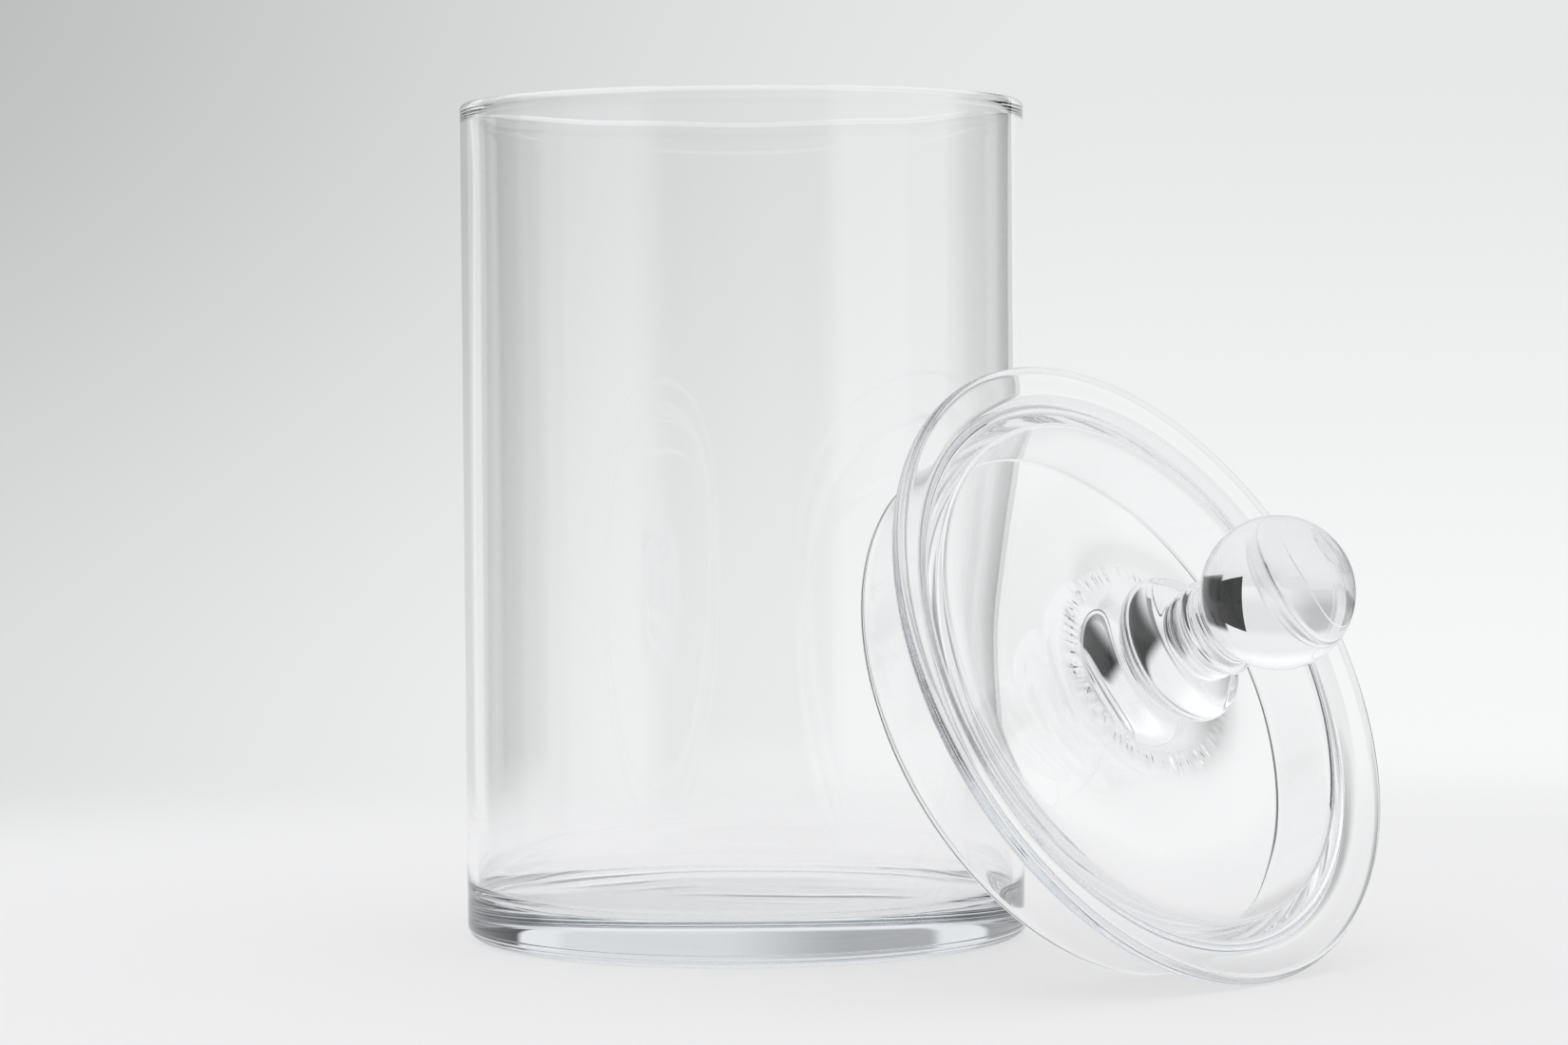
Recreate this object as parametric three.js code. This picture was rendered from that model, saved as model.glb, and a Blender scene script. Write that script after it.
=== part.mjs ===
// Lidded glass canister: a straight-sided glass jar, and its glass lid lying on its
// side against the jar. Millimetres, +Z up, with the origin at the centre of the jar's
// foot, on the surface that both pieces stand on.
import * as THREE from 'three';

// ---- Jar ----
const JAR_RADIUS = 75;
const JAR_HEIGHT = 222;
const JAR_WALL = 2.8;
const FLOOR_THICKNESS = 11;
const HEEL_RADIUS = 5;
const FLOOR_CORNER_RADIUS = 5;
const RIM_BEAD_RADIUS = 1.8;
const RIM_BEAD_PROUD = 0.2;

// ---- Lid cover, in its own frame: height 0 is the middle of the flange ----
const FLANGE_RADIUS = 83.7;
const FLANGE_THICKNESS = 4.6;
const COLLAR_RADIUS = 71.2;
const COLLAR_WALL = 3;
const COLLAR_DEPTH = 27.2;
const COLLAR_ROOT_FILLET = 5.5;
const PLATE_CORNER_RADIUS = 1.5;
const BOSS_DEPTH = 3;
const BOSS_SPREAD = 30;
const BOSS_REACH = 64;

// ---- Knob, heights measured from the plate's top ----
const WELD_GAP = 0.3;
const FOOT_RADIUS = 27;
const FOOT_EDGE = 1;
const FOOT_HEIGHT = 3.9;
const FOOT_CURVE_END = 190;
const STEM_RADIUS = 14;
const BULB_RADIUS = 19.3;
const BULB_HALF_HEIGHT = 8;
const BULB_CENTRE = 9.6;
const BULB_START_ABOVE_STEM = 8;
const NECK_RADIUS = 10.6;
const RING_RADIUS = 12.9;
const RING_HALF_HEIGHT = 2.2;
const RING_CENTRE = 22.2;
const LOW_RING_RADIUS = 12.2;
const LOW_RING_HALF_HEIGHT = 1.2;
const LOW_RING_CENTRE = 17.8;
const BALL_RADIUS = 18.85;
const BALL_CENTRE = 43.2;

// ---- How the lid lies: its axis is turned from +X by LID_YAW, flange and collar resting on the table ----
const LID_YAW = -43.6;
const LID_X = 99.2;
const LID_Y = -85.8;
const TABLE_CLEARANCE = 0.02;

// ---- Facets round the axis, and steps along each curve of an outline ----
const JAR_SEGMENTS = 72;
const LID_SEGMENTS = 72;
const KNOB_SEGMENTS = 48;
const CORNER_STEPS = 5;
const SMALL_CORNER_STEPS = 2;
const ROUND_EDGE_STEPS = 6;
const BEAD_STEPS = 8;
const BOSS_STEPS = 8;
const BULB_STEPS = 10;
const RING_STEPS = 4;
const BALL_STEPS = 14;

// ---- Directions in the (radius, height) plane, in degrees from the outward direction ----
const OUTWARD = 0;
const UP = 90;
const INWARD = 180;
const DOWN = 270;
const FULL_TURN = 360;

const GLASS = { color: 0xdfe6ea, roughness: 0.03, metalness: 0 };
const FLANGE_EDGE_RADIUS = FLANGE_THICKNESS / 2;
const COLLAR_EDGE_RADIUS = COLLAR_WALL / 2;
const PLATE_TOP = FLANGE_THICKNESS / 2;
const PLATE_UNDERSIDE = -FLANGE_THICKNESS / 2;
const COLLAR_INNER_RADIUS = COLLAR_RADIUS - COLLAR_WALL;

// Points of an arc in the (radius, height) plane.
function arc(centreRadius, centreHeight, radius, fromAngle, toAngle, steps) {
  return ellipseArc(centreRadius, centreHeight, radius, radius, fromAngle, toAngle, steps);
}

function ellipseArc(centreRadius, centreHeight, across, along, fromAngle, toAngle, steps) {
  const points = [];
  for (let step = 0; step <= steps; step += 1) {
    const angle = THREE.MathUtils.degToRad(fromAngle + ((toAngle - fromAngle) * step) / steps);
    const radius = centreRadius + across * Math.cos(angle);
    const height = centreHeight + along * Math.sin(angle);
    points.push(new THREE.Vector2(radius, height));
  }
  return points;
}

function point(radius, height) {
  return new THREE.Vector2(radius, height);
}

// Turns a closed outline, listed from its lowest point on the axis round to its highest, about +Z.
function turned(name, outline, segments) {
  const geometry = new THREE.LatheGeometry(outline, segments);
  geometry.rotateX(Math.PI / 2);
  const mesh = new THREE.Mesh(geometry, new THREE.MeshStandardMaterial(GLASS));
  mesh.name = name;
  return mesh;
}

// Angle at which an ellipse of half-width across, centred on the axis, is reach from the axis.
function angleAtReach(across, reach) {
  return THREE.MathUtils.radToDeg(Math.acos(reach / across));
}

// The jar: a heavy floor with a rounded heel, a thin straight wall and a fire-polished bead for a rim.
function jarBody() {
  const innerRadius = JAR_RADIUS - JAR_WALL;
  const beadCentre = JAR_RADIUS + RIM_BEAD_PROUD - RIM_BEAD_RADIUS;
  const beadHeight = JAR_HEIGHT - RIM_BEAD_RADIUS;
  const outsideJoin = -angleAtReach(RIM_BEAD_RADIUS, JAR_RADIUS - beadCentre);
  const insideJoin = FULL_TURN - angleAtReach(RIM_BEAD_RADIUS, innerRadius - beadCentre);
  const outline = [
    point(0, 0),
    ...arc(JAR_RADIUS - HEEL_RADIUS, HEEL_RADIUS, HEEL_RADIUS, DOWN, FULL_TURN, CORNER_STEPS),
    ...arc(beadCentre, beadHeight, RIM_BEAD_RADIUS, outsideJoin, insideJoin, BEAD_STEPS),
    ...arc(
      innerRadius - FLOOR_CORNER_RADIUS,
      FLOOR_THICKNESS + FLOOR_CORNER_RADIUS,
      FLOOR_CORNER_RADIUS,
      FULL_TURN,
      DOWN,
      CORNER_STEPS,
    ),
    point(0, FLOOR_THICKNESS),
  ];
  return turned('jar_body', outline, JAR_SEGMENTS);
}

// Underside of the plate from the axis outward: a bell curve that hangs lowest in the middle.
function bossUnderside() {
  const points = [];
  for (let step = 0; step <= BOSS_STEPS; step += 1) {
    const radius = (BOSS_REACH * step) / BOSS_STEPS;
    const drop = BOSS_DEPTH * Math.exp(-((radius / BOSS_SPREAD) ** 2));
    points.push(point(radius, PLATE_UNDERSIDE - drop));
  }
  return points;
}

// The lid: a plate that runs out into a round-edged flange, with a collar that hangs inside the jar's mouth.
function lidCover() {
  const collarFoot = COLLAR_EDGE_RADIUS - COLLAR_DEPTH;
  const outline = [
    ...bossUnderside(),
    ...arc(
      COLLAR_INNER_RADIUS - PLATE_CORNER_RADIUS,
      PLATE_UNDERSIDE - PLATE_CORNER_RADIUS,
      PLATE_CORNER_RADIUS,
      UP,
      OUTWARD,
      SMALL_CORNER_STEPS,
    ),
    ...arc(
      COLLAR_RADIUS - COLLAR_EDGE_RADIUS,
      collarFoot,
      COLLAR_EDGE_RADIUS,
      INWARD,
      FULL_TURN,
      ROUND_EDGE_STEPS,
    ),
    ...arc(
      COLLAR_RADIUS + COLLAR_ROOT_FILLET,
      PLATE_UNDERSIDE - COLLAR_ROOT_FILLET,
      COLLAR_ROOT_FILLET,
      INWARD,
      UP,
      CORNER_STEPS,
    ),
    ...arc(
      FLANGE_RADIUS - FLANGE_EDGE_RADIUS,
      0,
      FLANGE_EDGE_RADIUS,
      DOWN - FULL_TURN,
      UP,
      ROUND_EDGE_STEPS,
    ),
    point(0, PLATE_TOP),
  ];
  return turned('lid_cover', outline, LID_SEGMENTS);
}

// The knob: a flared foot, a flattened bulb, two rings on a neck and a ball, all one gather of glass.
function lidKnob() {
  const bulbLow = BULB_START_ABOVE_STEM - angleAtReach(BULB_RADIUS, STEM_RADIUS);
  const bulbHigh = angleAtReach(BULB_RADIUS, NECK_RADIUS);
  const lowRingJoin = angleAtReach(LOW_RING_RADIUS, NECK_RADIUS);
  const ringJoin = angleAtReach(RING_RADIUS, NECK_RADIUS);
  const ballJoin = -angleAtReach(BALL_RADIUS, NECK_RADIUS);
  const outline = [
    point(0, WELD_GAP),
    point(FOOT_RADIUS, WELD_GAP),
    ...ellipseArc(
      FOOT_RADIUS,
      FOOT_HEIGHT,
      FOOT_RADIUS - STEM_RADIUS,
      FOOT_HEIGHT - FOOT_EDGE,
      DOWN,
      FOOT_CURVE_END,
      CORNER_STEPS,
    ),
    ...ellipseArc(0, BULB_CENTRE, BULB_RADIUS, BULB_HALF_HEIGHT, bulbLow, bulbHigh, BULB_STEPS),
    ...ellipseArc(
      0,
      LOW_RING_CENTRE,
      LOW_RING_RADIUS,
      LOW_RING_HALF_HEIGHT,
      -lowRingJoin,
      lowRingJoin,
      RING_STEPS,
    ),
    ...ellipseArc(0, RING_CENTRE, RING_RADIUS, RING_HALF_HEIGHT, -ringJoin, ringJoin, RING_STEPS),
    ...arc(0, BALL_CENTRE, BALL_RADIUS, ballJoin, UP, BALL_STEPS),
  ];
  return turned('lid_knob', outline, KNOB_SEGMENTS);
}

// The lid lies like a cone on its side: the tilt that brings the flange's edge and the collar's edge
// down to one level is where (run, rise) of their centre circles meets the difference of their edge radii.
function lidTilt() {
  const run = COLLAR_DEPTH - COLLAR_EDGE_RADIUS;
  const rise = FLANGE_RADIUS - FLANGE_EDGE_RADIUS - (COLLAR_RADIUS - COLLAR_EDGE_RADIUS);
  const edgeDifference = FLANGE_EDGE_RADIUS - COLLAR_EDGE_RADIUS;
  return Math.atan2(rise, run) + Math.asin(edgeDifference / Math.hypot(run, rise));
}

function lidAsItLies() {
  const tilt = lidTilt();
  const lid = new THREE.Group();
  const knob = lidKnob();
  knob.position.z = PLATE_TOP;
  lid.add(lidCover(), knob);
  lid.rotation.y = Math.PI / 2 - tilt;
  const standing = new THREE.Group();
  standing.add(lid);
  const edgeCircle = FLANGE_RADIUS - FLANGE_EDGE_RADIUS;
  const height = edgeCircle * Math.cos(tilt) + FLANGE_EDGE_RADIUS + TABLE_CLEARANCE;
  standing.position.set(LID_X, LID_Y, height);
  standing.rotation.z = THREE.MathUtils.degToRad(LID_YAW);
  return standing;
}

const group = new THREE.Group();
group.add(jarBody(), lidAsItLies());

export default group;
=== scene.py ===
"""Lidded glass canister: a straight-sided clear glass jar, and its lid lying beside it.

The two glass pieces are turned outlines with a little waviness, like hand-finished glass.
They stand for the plain CAD nodes. Everything is in metres, +Z up, in the CAD frame.
"""
import math
from collections import namedtuple

import bpy
import numpy as np
from mathutils import Matrix, Vector


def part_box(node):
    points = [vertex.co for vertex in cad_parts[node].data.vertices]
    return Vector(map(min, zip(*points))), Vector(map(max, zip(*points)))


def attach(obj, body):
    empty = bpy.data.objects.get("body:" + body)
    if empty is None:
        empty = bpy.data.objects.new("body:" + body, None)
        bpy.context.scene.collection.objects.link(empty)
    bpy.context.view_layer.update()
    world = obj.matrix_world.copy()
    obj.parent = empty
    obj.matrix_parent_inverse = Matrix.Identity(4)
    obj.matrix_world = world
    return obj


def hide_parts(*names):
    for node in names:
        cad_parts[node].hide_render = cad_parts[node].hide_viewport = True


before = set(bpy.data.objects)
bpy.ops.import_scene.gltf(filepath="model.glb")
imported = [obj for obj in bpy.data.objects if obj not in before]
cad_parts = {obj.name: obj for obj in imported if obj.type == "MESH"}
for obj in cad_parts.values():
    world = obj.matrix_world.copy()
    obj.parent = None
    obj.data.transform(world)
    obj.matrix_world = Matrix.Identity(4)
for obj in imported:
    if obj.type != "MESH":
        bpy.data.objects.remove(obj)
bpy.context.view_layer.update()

MM = 0.001

# ---- Sizes that come from the frame ----
JAR_LOW, JAR_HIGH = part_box("jar_body")
CAD_BEAD_PROUD = 0.2 * MM
JAR_RADIUS = (JAR_HIGH.x - JAR_LOW.x) / 2 - CAD_BEAD_PROUD
JAR_HEIGHT = JAR_HIGH.z

# ---- Jar outline ----
JAR_WALL = 2.8 * MM
FLOOR_THICKNESS = 11 * MM
HEEL_RADIUS = 4 * MM
FLOOR_CORNER_RADIUS = 5 * MM
RIM_BEAD_RADIUS = 1.5 * MM
RIM_BEAD_PROUD = 0.1 * MM

# ---- Lid outline; height 0 is the middle of the flange ----
FLANGE_THICKNESS = 4.6 * MM
COLLAR_RADIUS = 71.2 * MM
COLLAR_WALL = 3 * MM
COLLAR_DEPTH = 27.2 * MM
COLLAR_ROOT_FILLET = 5.5 * MM
PLATE_CORNER_RADIUS = 1.5 * MM

BOSS_SPREAD = 45 * MM
BOSS_DEPTH = 4 * MM

# ---- Knob outline; heights are measured from the plate's top ----
FOOT_REACH = 64 * MM
FOOT_SPREAD = 8.5 * MM
FOOT_HEIGHT = 3.9 * MM
STEM_RADIUS = 14 * MM
BULB_RADIUS = 19.3 * MM
BULB_HALF_HEIGHT = 8 * MM
BULB_CENTRE = 9.6 * MM
NECK_RADIUS = 10.6 * MM
LOW_RING_RADIUS = 12.2 * MM
LOW_RING_HALF_HEIGHT = 1.2 * MM
LOW_RING_CENTRE = 17.8 * MM
RING_RADIUS = 12.9 * MM
RING_HALF_HEIGHT = 2.2 * MM
RING_CENTRE = 22.2 * MM
BALL_RADIUS = 18.85 * MM
BALL_CENTRE = 43.2 * MM

# ---- Mesh fineness ----
TURN_STEPS = 256
FLAT_STEP = 3 * MM
KNOB_STEP = 0.65 * MM
KNOB_SOFTENING = 3
FINE_ARC = 24
SMALL_ARC = 12
BALL_ARC = 48
BELL_STEPS = 40

# ---- Unevenness of hand-finished glass: how far the surface swells, and how long its waves are ----
WAVE_COUNT = 24
WALL_SWELL = 0.11 * MM
WALL_WAVE = 34 * MM
WALL_STRETCH = 0.15
WALL_FADE = 16 * MM
WALL_SEED = 11
FLOOR_SWELL = 0.40 * MM
FLOOR_WAVE = 75 * MM
FLOOR_SEED = 5
LID_SWELL = 0.12 * MM
LID_WAVE = 38 * MM
LID_SEED = 3
CRINKLE_RADIUS = 25 * MM
CRINKLE_WIDTH = 1.1 * MM
CRINKLE_DEPTH = 0.3 * MM
CRINKLE_HEIGHT = 5 * MM
CRINKLE_SEED = 7
HAIR = 0.1 * MM
EDGE_SEARCH = 0.02 * MM

# ---- Directions in the (radius, height) plane, in degrees from the outward direction ----
DOWN = -90
OUTWARD = 0
UP = 90
INWARD = 180
FULL_TURN = 360

# ---- Glass ----
GLASS_IOR = 1.52
GLASS_DEPTH_COLOUR = (0.52, 0.60, 0.68, 1)
GLASS_DEPTH_DENSITY = 2.3
SMEAR_SCALE = 22
SMEAR_DETAIL = 3.0
SMEAR_RANGE = (0.45, 0.8)
SMEAR_ROUGHNESS = 0.012
RIPPLE_SCALE = 45
RIPPLE_DETAIL = 1.0
RIPPLE_HEIGHT = 0.006 * MM

# ---- Tabletop: a pale disc that fades out into the background ----
FLOOR_RADIUS = 0.62
FLOOR_FADE_START = 0.25
FLOOR_DROP = 0.05 * MM
FLOOR_CENTRE = (0.03, -0.03, 0)
FLOOR_STEPS = 96
FLOOR_COLOUR = (0.25, 0.25, 0.252, 1)
FLOOR_GLOW_COLOUR = (0.99, 0.99, 1.0, 1)
FLOOR_GLOW = 0.64

# ---- Black card at the right of the backdrop ----
CARD_INNER = 0.343
CARD_OUTER = 0.62
CARD_BACK = 0.343
CARD_HEIGHT = 0.27
CARD_COLOUR = (0.97, 0.98, 1.0, 1)
CARD_LIGHT = 0.01

# ---- Studio all round: brightness by direction, in degrees ----
# Azimuth 0 is straight behind the object, seen from the camera, and 90 is its right.
Patch = namedtuple("Patch", "azimuths elevations softness light")
STUDIO_PATCHES = [
    Patch((42, 84), (-13, 22), 3, 0.02),
    Patch((-78, -46), (-13, 22), 4, 0.33),
    Patch((-103, -78), (-14, 40), 6, 0.60),
    Patch((-132, -103), (-20, 50), 3, 0.85),
    Patch((80, 140), (-20, 50), 14, 0.85),
]
PATCH_FOOT_SOFTNESS = 1
STUDIO_COLOUR = (0.99, 0.995, 1.0, 1)
WALLS = 0.92
FRONT = 0.38
FRONT_HALF_WIDTH = (30, 50)
TABLE_LIGHT = 0.82
TABLE_EDGE = (-6.5, -4.5)
CEILING_LIGHT = 1.15
CEILING_EDGE = (34, 50)
BACKDROP_AZIMUTHS = (-15, 5)
BACKDROP_LIGHTS = (0.46, 0.80)
BACKDROP_ELEVATIONS = (-5, 6)
BACKDROP_FOOT_SHARE = 0.32
BACKDROP_FOOT_LIGHT = 1.24
BACKDROP_EDGE = (16, 24)
BACKDROP_SIDES = (28, 32)
OPEN_SIDES = (20, 45)
OPEN_LIGHT = 0.78

# ---- Light paths: how many surfaces light may pass ----
LONG_PATHS = 32
SHORT_PATHS = 16

# ---- Camera: a 100 mm lens at 1.17 m, a little below the jar's rim ----
CAMERA_DISTANCE = 1.1654
CAMERA_HEIGHT = 0.1438
CAMERA_LENS = 100
CAMERA_SENSOR = 36
CAMERA_CLIP = (0.05, 50)
CAMERA_YAW = math.radians(0.516)
CAMERA_PITCH = math.radians(1.657)
CAMERA_ROLL = math.radians(-0.462)


# ======================= Outlines =======================

def arc(centre_radius, centre_height, across, along, from_angle, to_angle, steps=FINE_ARC):
    """Points of an elliptic arc in the (radius, height) plane, angles in degrees."""
    angles = np.radians(np.linspace(from_angle, to_angle, steps + 1))
    radii = centre_radius + across * np.cos(angles)
    heights = centre_height + along * np.sin(angles)
    return list(zip(radii, heights))


def angle_at_reach(across, reach):
    """Angle at which an arc centred on the axis, across wide, is reach from the axis."""
    return math.degrees(math.acos(reach / across))


def resampled(points, step):
    """The same line with points every step along it."""
    points = np.array(points)
    lengths = np.hypot(*np.diff(points, axis=0).T)
    travel = np.concatenate([[0], np.cumsum(lengths)])
    count = max(2, round(travel[-1] / step))
    at = np.linspace(0, travel[-1], count + 1)
    radii = np.interp(at, travel, points[:, 0])
    heights = np.interp(at, travel, points[:, 1])
    return np.stack([radii, heights], axis=1)


def spaced(points, widest):
    """The same line, with its long straight stretches cut so that no step is over widest."""
    line = [points[0]]
    for before, after in zip(points, points[1:]):
        cuts = max(1, math.ceil(math.dist(before, after) / widest))
        for cut in range(1, cuts + 1):
            share = cut / cuts
            radius = before[0] + (after[0] - before[0]) * share
            height = before[1] + (after[1] - before[1]) * share
            line.append((radius, height))
    return np.array(line)


def softened(points, passes):
    """Rounds the corners of an evenly spaced line, as fire-polishing does. Its ends stay."""
    points = points.copy()
    for _ in range(passes):
        points[1:-1] = 0.25 * points[:-2] + 0.5 * points[1:-1] + 0.25 * points[2:]
    return points


def jar_outline():
    """The jar, from the middle of its underside, over the rim, to the middle of its floor."""
    inner = JAR_RADIUS - JAR_WALL
    bead_centre = JAR_RADIUS + RIM_BEAD_PROUD - RIM_BEAD_RADIUS
    bead_height = JAR_HEIGHT - RIM_BEAD_RADIUS
    outside = -angle_at_reach(RIM_BEAD_RADIUS, JAR_RADIUS - bead_centre)
    inside = FULL_TURN - angle_at_reach(RIM_BEAD_RADIUS, inner - bead_centre)
    return [
        (0, 0),
        *arc(JAR_RADIUS - HEEL_RADIUS, HEEL_RADIUS, HEEL_RADIUS, HEEL_RADIUS, DOWN, OUTWARD),
        *arc(bead_centre, bead_height, RIM_BEAD_RADIUS, RIM_BEAD_RADIUS, outside, inside),
        *arc(
            inner - FLOOR_CORNER_RADIUS,
            FLOOR_THICKNESS + FLOOR_CORNER_RADIUS,
            FLOOR_CORNER_RADIUS,
            FLOOR_CORNER_RADIUS,
            OUTWARD,
            DOWN,
        ),
        (0, FLOOR_THICKNESS),
    ]


def bell(distance, spread):
    """A bell curve, 1 in the middle."""
    return np.exp(-((distance / spread) ** 2))


def cover_outline(flange_radius):
    """The plate, collar and flange, from the middle of the underside to the flange's top."""
    edge = FLANGE_THICKNESS / 2
    collar_edge = COLLAR_WALL / 2
    corner_centre = COLLAR_RADIUS - COLLAR_WALL - PLATE_CORNER_RADIUS
    root = COLLAR_ROOT_FILLET
    corner = PLATE_CORNER_RADIUS
    reach = np.linspace(0, FOOT_REACH, BELL_STEPS)
    boss = BOSS_DEPTH * bell(reach, BOSS_SPREAD)
    collar_centre = COLLAR_RADIUS - collar_edge
    collar_foot = collar_edge - COLLAR_DEPTH
    return [
        *zip(reach, boss[-1] - boss - edge),
        *arc(corner_centre, -edge - corner, corner, corner, UP, OUTWARD, SMALL_ARC),
        *arc(collar_centre, collar_foot, collar_edge, collar_edge, INWARD, FULL_TURN),
        *arc(COLLAR_RADIUS + root, -edge - root, root, root, INWARD, UP),
        *arc(flange_radius - edge, 0, edge, edge, DOWN, UP),
        (FOOT_REACH, edge),
    ]


def knob_outline():
    """The knob, from the toe of its flared foot to the top of its ball. Heights are over the plate."""
    reach = np.linspace(FOOT_REACH, STEM_RADIUS, BELL_STEPS)
    foot = FOOT_HEIGHT * bell(reach - STEM_RADIUS, FOOT_SPREAD)
    foot -= foot[0]
    low_join = angle_at_reach(LOW_RING_RADIUS, NECK_RADIUS)
    ring_join = angle_at_reach(RING_RADIUS, NECK_RADIUS)
    bulb_low = -angle_at_reach(BULB_RADIUS, STEM_RADIUS)
    bulb_high = angle_at_reach(BULB_RADIUS, NECK_RADIUS)
    ball_low = -angle_at_reach(BALL_RADIUS, NECK_RADIUS)
    return [
        *zip(reach, foot),
        *arc(0, BULB_CENTRE, BULB_RADIUS, BULB_HALF_HEIGHT, bulb_low, bulb_high),
        *arc(0, LOW_RING_CENTRE, LOW_RING_RADIUS, LOW_RING_HALF_HEIGHT, -low_join, low_join),
        *arc(0, RING_CENTRE, RING_RADIUS, RING_HALF_HEIGHT, -ring_join, ring_join),
        *arc(0, BALL_CENTRE, BALL_RADIUS, BALL_RADIUS, ball_low, UP, BALL_ARC),
    ]


def lid_outline(flange_radius):
    """The cover and the knob in one line, because they are fused."""
    cover = spaced(cover_outline(flange_radius), FLAT_STEP)
    knob = softened(resampled(knob_outline(), KNOB_STEP), KNOB_SOFTENING)
    knob[:, 1] += FLANGE_THICKNESS / 2
    return np.concatenate([cover[:-1], knob])


# ======================= Turned meshes =======================

def swell(points, size, seed):
    """Smooth seeded waves about size long, between -1 and 1, at each point."""
    chance = np.random.default_rng(seed)
    ways = chance.normal(size=(WAVE_COUNT, 3))
    ways *= 2 * math.pi / size / np.linalg.norm(ways, axis=1, keepdims=True)
    phases = chance.uniform(0, 2 * math.pi, WAVE_COUNT)
    waves = np.sin(points @ ways.T + phases)
    return np.clip(waves.mean(axis=1) * math.sqrt(WAVE_COUNT) / 2, -1, 1)


def push_out(points, change):
    """Moves points away from the turning axis by change, in place."""
    out = np.maximum(np.hypot(points[:, 0], points[:, 1]), MM)
    points[:, :2] *= (1 + change / out)[:, None]


def uneven_jar(points):
    """Faint upright draw bands inside the wall, and a floor that isn't quite level."""
    out = np.hypot(points[:, 0], points[:, 1])
    rise = points[:, 2] - FLOOR_THICKNESS
    inside = (out < JAR_RADIUS - JAR_WALL + HAIR) & (rise > -HAIR)
    on_floor = inside * np.clip(1 - rise / FLOOR_CORNER_RADIUS, 0, 1)
    on_wall = inside * np.clip((rise - FLOOR_CORNER_RADIUS) / WALL_FADE, 0, 1)
    on_wall *= np.clip((JAR_HEIGHT - points[:, 2]) / WALL_FADE, 0, 1)
    bands = swell(points * (1, 1, WALL_STRETCH), WALL_WAVE, WALL_SEED)
    level = swell(points, FLOOR_WAVE, FLOOR_SEED)
    push_out(points, bands * on_wall * WALL_SWELL)
    points[:, 2] += level * on_floor * FLOOR_SWELL


def uneven_lid(points):
    """A slightly wavy plate and collar, and a crinkled ring where the knob was pressed on."""
    out = np.hypot(points[:, 0], points[:, 1])
    edge = FLANGE_THICKNESS / 2
    below = np.clip(-points[:, 2] / edge, 0, 1)
    near = below * (abs(points[:, 2] + edge) < CRINKLE_HEIGHT)
    waves = swell(points, LID_WAVE, LID_SEED) * below * LID_SWELL
    jags = np.random.default_rng(CRINKLE_SEED).normal(size=TURN_STEPS)
    jags = np.resize(jags, len(points))
    push_out(points, waves)
    points[:, 2] += waves + bell(out - CRINKLE_RADIUS, CRINKLE_WIDTH) * near * jags * CRINKLE_DEPTH


def turned_mesh(name, outline, place, uneven):
    """A closed mesh: the outline turned about place's Z. Both of its ends are on the axis."""
    count = len(outline)
    angles = np.linspace(0, 2 * math.pi, TURN_STEPS, endpoint=False)
    radii = outline[1:-1, 0]
    ring_x = np.outer(radii, np.cos(angles)).ravel()
    ring_y = np.outer(radii, np.sin(angles)).ravel()
    ring_z = np.repeat(outline[1:-1, 1], TURN_STEPS)
    rings = np.stack([ring_x, ring_y, ring_z], axis=1)
    poles = np.array([[0, 0, outline[0, 1]], [0, 0, outline[-1, 1]]])
    points = np.concatenate([rings, poles])
    uneven(points)
    points = [place @ Vector(point) for point in points]
    low_pole = len(rings)
    high_pole = low_pole + 1
    faces = []
    for ring in range(count - 3):
        start = ring * TURN_STEPS
        above = start + TURN_STEPS
        for step in range(TURN_STEPS):
            after = (step + 1) % TURN_STEPS
            faces.append((start + step, start + after, above + after, above + step))
    last = (count - 3) * TURN_STEPS
    for step in range(TURN_STEPS):
        after = (step + 1) % TURN_STEPS
        faces.append((low_pole, after, step))
        faces.append((high_pole, last + step, last + after))
    mesh = bpy.data.meshes.new(name)
    mesh.from_pydata(points, [], faces)
    mesh.validate()
    mesh.shade_smooth()
    piece = bpy.data.objects.new(name, mesh)
    bpy.context.scene.collection.objects.link(piece)
    return piece


def node_points(name):
    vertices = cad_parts[name].data.vertices
    flat = np.empty(len(vertices) * 3)
    vertices.foreach_get("co", flat)
    return flat.reshape(-1, 3)


def lid_place():
    """The lid's own frame, read off the CAD lid, and its flange's radius.
    The frame's origin is in the flange's middle, and its Z runs to the knob."""
    cover = node_points("lid_cover")
    knob = node_points("lid_knob")
    axis = Vector(turning_axis(cover, knob))
    offsets = cover - turning_centre(cover)
    along = offsets @ np.array(axis)
    out = np.linalg.norm(offsets - np.outer(along, axis), axis=1)
    flange_radius = out.max()
    flange_height = along[out > flange_radius - EDGE_SEARCH].mean()
    origin = Vector(turning_centre(cover)) + axis * flange_height
    turn = axis.to_track_quat("Z", "Y").to_matrix().to_4x4()
    return Matrix.Translation(origin) @ turn, flange_radius


def turning_centre(points):
    """The middle of a turned node's corners, which lies on its axis."""
    return np.unique(points.round(6), axis=0).mean(axis=0)


def turning_axis(lower, upper):
    way = turning_centre(upper) - turning_centre(lower)
    return way / np.linalg.norm(way)


# ======================= Materials =======================

def new_nodes(name):
    material = bpy.data.materials.new(name)
    material.use_nodes = True
    material.node_tree.nodes.clear()
    return material, material.node_tree


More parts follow.
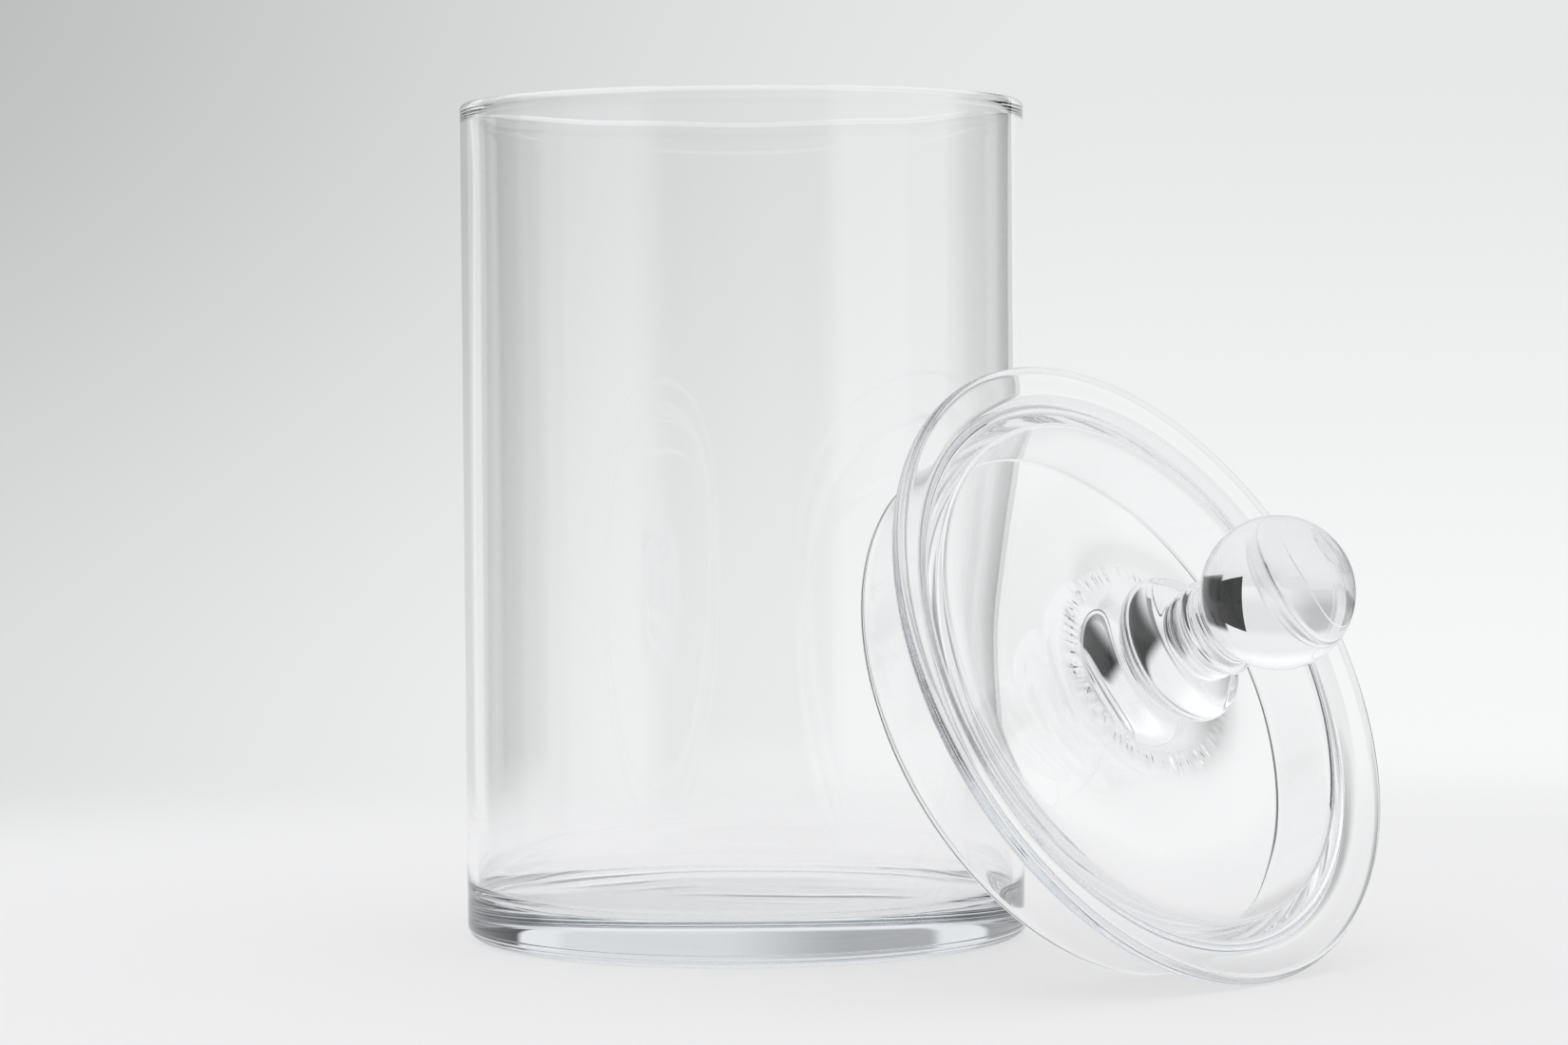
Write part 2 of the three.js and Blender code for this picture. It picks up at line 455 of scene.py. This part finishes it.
def clear_glass():
    """Soda-lime glass, a little uneven: faint polish marks, and grey-blue where it is thick."""
    material, tree = new_nodes("clear_glass")
    out = tree.nodes.new("ShaderNodeOutputMaterial")
    glass = tree.nodes.new("ShaderNodeBsdfPrincipled")
    glass.inputs["Base Color"].default_value = (1, 1, 1, 1)
    glass.inputs["IOR"].default_value = GLASS_IOR
    glass.inputs["Transmission Weight"].default_value = 1.0
    place = tree.nodes.new("ShaderNodeTexCoord")
    smears = tree.nodes.new("ShaderNodeTexNoise")
    smears.inputs["Scale"].default_value = SMEAR_SCALE
    smears.inputs["Detail"].default_value = SMEAR_DETAIL
    polish = tree.nodes.new("ShaderNodeMapRange")
    polish.inputs["From Min"].default_value = SMEAR_RANGE[0]
    polish.inputs["From Max"].default_value = SMEAR_RANGE[1]
    polish.inputs["To Max"].default_value = SMEAR_ROUGHNESS
    ripples = tree.nodes.new("ShaderNodeTexNoise")
    ripples.inputs["Scale"].default_value = RIPPLE_SCALE
    ripples.inputs["Detail"].default_value = RIPPLE_DETAIL
    bump = tree.nodes.new("ShaderNodeBump")
    bump.inputs["Strength"].default_value = 1.0
    bump.inputs["Distance"].default_value = RIPPLE_HEIGHT
    depth = tree.nodes.new("ShaderNodeVolumeAbsorption")
    depth.inputs["Color"].default_value = GLASS_DEPTH_COLOUR
    depth.inputs["Density"].default_value = GLASS_DEPTH_DENSITY
    tree.links.new(place.outputs["Object"], smears.inputs["Vector"])
    tree.links.new(place.outputs["Object"], ripples.inputs["Vector"])
    tree.links.new(smears.outputs["Fac"], polish.inputs["Value"])
    tree.links.new(polish.outputs["Result"], glass.inputs["Roughness"])
    tree.links.new(ripples.outputs["Fac"], bump.inputs["Height"])
    tree.links.new(bump.outputs["Normal"], glass.inputs["Normal"])
    tree.links.new(glass.outputs["BSDF"], out.inputs["Surface"])
    tree.links.new(depth.outputs["Volume"], out.inputs["Volume"])
    return material


def fading_floor():
    """A pale tabletop that fades out into the background."""
    material, tree = new_nodes("tabletop")
    out = tree.nodes.new("ShaderNodeOutputMaterial")
    matt = tree.nodes.new("ShaderNodeBsdfDiffuse")
    matt.inputs["Color"].default_value = FLOOR_COLOUR
    glow = tree.nodes.new("ShaderNodeEmission")
    glow.inputs["Color"].default_value = FLOOR_GLOW_COLOUR
    glow.inputs["Strength"].default_value = FLOOR_GLOW
    lit = tree.nodes.new("ShaderNodeAddShader")
    tree.links.new(matt.outputs["BSDF"], lit.inputs[0])
    tree.links.new(glow.outputs["Emission"], lit.inputs[1])
    clear = tree.nodes.new("ShaderNodeBsdfTransparent")
    mix = tree.nodes.new("ShaderNodeMixShader")
    place = tree.nodes.new("ShaderNodeTexCoord")
    reach = tree.nodes.new("ShaderNodeVectorMath")
    reach.operation = "LENGTH"
    fade = tree.nodes.new("ShaderNodeMapRange")
    fade.interpolation_type = "SMOOTHERSTEP"
    fade.inputs["From Min"].default_value = FLOOR_FADE_START
    fade.inputs["From Max"].default_value = FLOOR_RADIUS
    tree.links.new(place.outputs["Object"], reach.inputs[0])
    tree.links.new(reach.outputs["Value"], fade.inputs["Value"])
    tree.links.new(fade.outputs["Result"], mix.inputs["Fac"])
    tree.links.new(lit.outputs["Shader"], mix.inputs[1])
    tree.links.new(clear.outputs["BSDF"], mix.inputs[2])
    tree.links.new(mix.outputs["Shader"], out.inputs["Surface"])
    return material


# ======================= Studio =======================

class Studio:
    """Builds the world's nodes: a value for each direction."""

    def __init__(self, tree):
        self.tree = tree

    def math(self, operation, first, second=0.0, third=0.0):
        node = self.tree.nodes.new("ShaderNodeMath")
        node.operation = operation
        for socket, value in zip(node.inputs, (first, second, third)):
            self.feed(socket, value)
        return node.outputs[0]

    def feed(self, socket, value):
        if isinstance(value, bpy.types.NodeSocket):
            self.tree.links.new(value, socket)
        else:
            socket.default_value = value

    def ramp(self, value, low, high, result_low=0.0, result_high=1.0):
        node = self.tree.nodes.new("ShaderNodeMapRange")
        node.interpolation_type = "SMOOTHSTEP"
        self.feed(node.inputs["Value"], value)
        node.inputs["From Min"].default_value = low
        node.inputs["From Max"].default_value = high
        node.inputs["To Min"].default_value = result_low
        node.inputs["To Max"].default_value = result_high
        return node.outputs[0]

    def blend(self, amount, below, above):
        change = self.math("SUBTRACT", above, below)
        return self.math("MULTIPLY_ADD", change, amount, below)

    def window(self, value, low, high, foot, head):
        """1 between low and high, and 0 outside. Foot and head are how wide the two ends fade."""
        rise = self.ramp(value, low - foot / 2, low + foot / 2)
        fall = self.ramp(value, high - head / 2, high + head / 2, 1.0, 0.0)
        return self.math("MULTIPLY", rise, fall)

    def patch(self, azimuth, elevation, patch):
        soft = patch.softness
        sides = self.window(azimuth, *patch.azimuths, soft, soft)
        ends = self.window(elevation, *patch.elevations, PATCH_FOOT_SOFTNESS, 2 * soft)
        return self.math("MULTIPLY", sides, ends)


def make_world():
    world = bpy.data.worlds.new("studio")
    world.use_nodes = True
    tree = world.node_tree
    tree.nodes.clear()
    studio = Studio(tree)
    place = tree.nodes.new("ShaderNodeTexCoord")
    parts = tree.nodes.new("ShaderNodeSeparateXYZ")
    tree.links.new(place.outputs["Generated"], parts.inputs[0])
    way_x, way_y, way_z = parts.outputs
    azimuth = studio.math("DEGREES", studio.math("ARCTAN2", way_x, way_y))
    aside = studio.math("ABSOLUTE", azimuth)
    elevation = studio.math("DEGREES", studio.math("ARCSINE", way_z))
    side = studio.ramp(azimuth, *BACKDROP_AZIMUTHS, *BACKDROP_LIGHTS)
    foot = studio.ramp(elevation, *BACKDROP_ELEVATIONS, BACKDROP_FOOT_SHARE, 0.0)
    backdrop = studio.blend(foot, side, BACKDROP_FOOT_LIGHT)
    between = studio.ramp(aside, *BACKDROP_SIDES, 1.0, 0.0)
    under = studio.ramp(elevation, *BACKDROP_EDGE, 1.0, 0.0)
    near = studio.math("MULTIPLY", between, under)
    value = studio.blend(near, WALLS, backdrop)
    low, high = FRONT_HALF_WIDTH
    value = studio.blend(studio.ramp(aside, 180 - high, 180 - low), value, FRONT)
    value = studio.blend(studio.ramp(elevation, *CEILING_EDGE), value, CEILING_LIGHT)
    below = studio.ramp(elevation, *TABLE_EDGE, 1.0, 0.0)
    value = studio.blend(below, value, TABLE_LIGHT)
    for patch in STUDIO_PATCHES:
        value = studio.blend(studio.patch(azimuth, elevation, patch), value, patch.light)
    plain = studio.blend(studio.ramp(aside, *OPEN_SIDES), backdrop, OPEN_LIGHT)
    plain = studio.blend(below, plain, TABLE_LIGHT)
    sight = tree.nodes.new("ShaderNodeLightPath")
    shown = studio.blend(sight.outputs["Is Camera Ray"], value, plain)
    light = tree.nodes.new("ShaderNodeBackground")
    light.inputs["Color"].default_value = STUDIO_COLOUR
    tree.links.new(shown, light.inputs["Strength"])
    out = tree.nodes.new("ShaderNodeOutputWorld")
    tree.links.new(light.outputs[0], out.inputs["Surface"])
    bpy.context.scene.world = world


def make_floor():
    points = []
    for step in range(FLOOR_STEPS):
        turn = 2 * math.pi * step / FLOOR_STEPS
        points.append((FLOOR_RADIUS * math.cos(turn), FLOOR_RADIUS * math.sin(turn), -FLOOR_DROP))
    mesh = bpy.data.meshes.new("floor")
    mesh.from_pydata(points, [], [tuple(range(FLOOR_STEPS))])
    floor = bpy.data.objects.new("floor", mesh)
    floor.location = FLOOR_CENTRE
    mesh.materials.append(fading_floor())
    bpy.context.scene.collection.objects.link(floor)


def black_card():
    material, tree = new_nodes("black_card")
    out = tree.nodes.new("ShaderNodeOutputMaterial")
    plain = tree.nodes.new("ShaderNodeEmission")
    plain.inputs["Color"].default_value = CARD_COLOUR
    plain.inputs["Strength"].default_value = CARD_LIGHT
    tree.links.new(plain.outputs["Emission"], out.inputs["Surface"])
    return material


def make_card():
    """A black card at the right of the backdrop, out of view. It draws the dark bands in the glass."""
    corners = [
        (CARD_INNER, CARD_BACK, 0),
        (CARD_OUTER, CARD_BACK, 0),
        (CARD_OUTER, CARD_BACK, CARD_HEIGHT),
        (CARD_INNER, CARD_BACK, CARD_HEIGHT),
    ]
    mesh = bpy.data.meshes.new("card")
    mesh.from_pydata(corners, [], [(0, 1, 2, 3)])
    mesh.materials.append(black_card())
    card = bpy.data.objects.new("card", mesh)
    card.visible_camera = False
    card.visible_diffuse = False
    bpy.context.scene.collection.objects.link(card)


def make_camera():
    camera = bpy.data.cameras.new("camera")
    camera.lens = CAMERA_LENS
    camera.sensor_width = CAMERA_SENSOR
    camera.clip_start, camera.clip_end = CAMERA_CLIP
    holder = bpy.data.objects.new("camera", camera)
    bpy.context.scene.collection.objects.link(holder)
    way = Vector((math.sin(CAMERA_YAW) * math.cos(CAMERA_PITCH),
                  math.cos(CAMERA_YAW) * math.cos(CAMERA_PITCH),
                  -math.sin(CAMERA_PITCH)))
    level = Vector((math.cos(CAMERA_YAW), -math.sin(CAMERA_YAW), 0))
    upright = level.cross(way)
    right = level * math.cos(CAMERA_ROLL) + upright * math.sin(CAMERA_ROLL)
    up = upright * math.cos(CAMERA_ROLL) - level * math.sin(CAMERA_ROLL)
    turn = Matrix((right, up, -way)).transposed().to_4x4()
    holder.matrix_world = Matrix.Translation((0, -CAMERA_DISTANCE, CAMERA_HEIGHT)) @ turn
    bpy.context.scene.camera = holder


def set_light_paths():
    """Glass over glass needs long light paths, and plain colours need the Standard view."""
    scene = bpy.context.scene
    scene.view_settings.view_transform = "Standard"
    scene.cycles.max_bounces = LONG_PATHS
    scene.cycles.transmission_bounces = LONG_PATHS
    scene.cycles.glossy_bounces = SHORT_PATHS
    scene.cycles.transparent_max_bounces = SHORT_PATHS


# ======================= Assembly =======================

def add_piece(piece, material, body, *nodes):
    """Gives a piece its material and body, and hides the CAD nodes that it stands for."""
    piece.data.materials.append(material)
    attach(piece, body)
    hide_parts(*nodes)


def make_glass():
    glass = clear_glass()
    jar = spaced(jar_outline(), FLAT_STEP)
    jar_glass = turned_mesh("jar_glass", jar, Matrix.Identity(4), uneven_jar)
    add_piece(jar_glass, glass, "jar", "jar_body")
    place, flange_radius = lid_place()
    lid = lid_outline(flange_radius)
    lid_glass = turned_mesh("lid_glass", lid, place, uneven_lid)
    add_piece(lid_glass, glass, "lid", "lid_cover", "lid_knob")


make_camera()
make_world()
make_floor()
make_card()
set_light_paths()
make_glass()
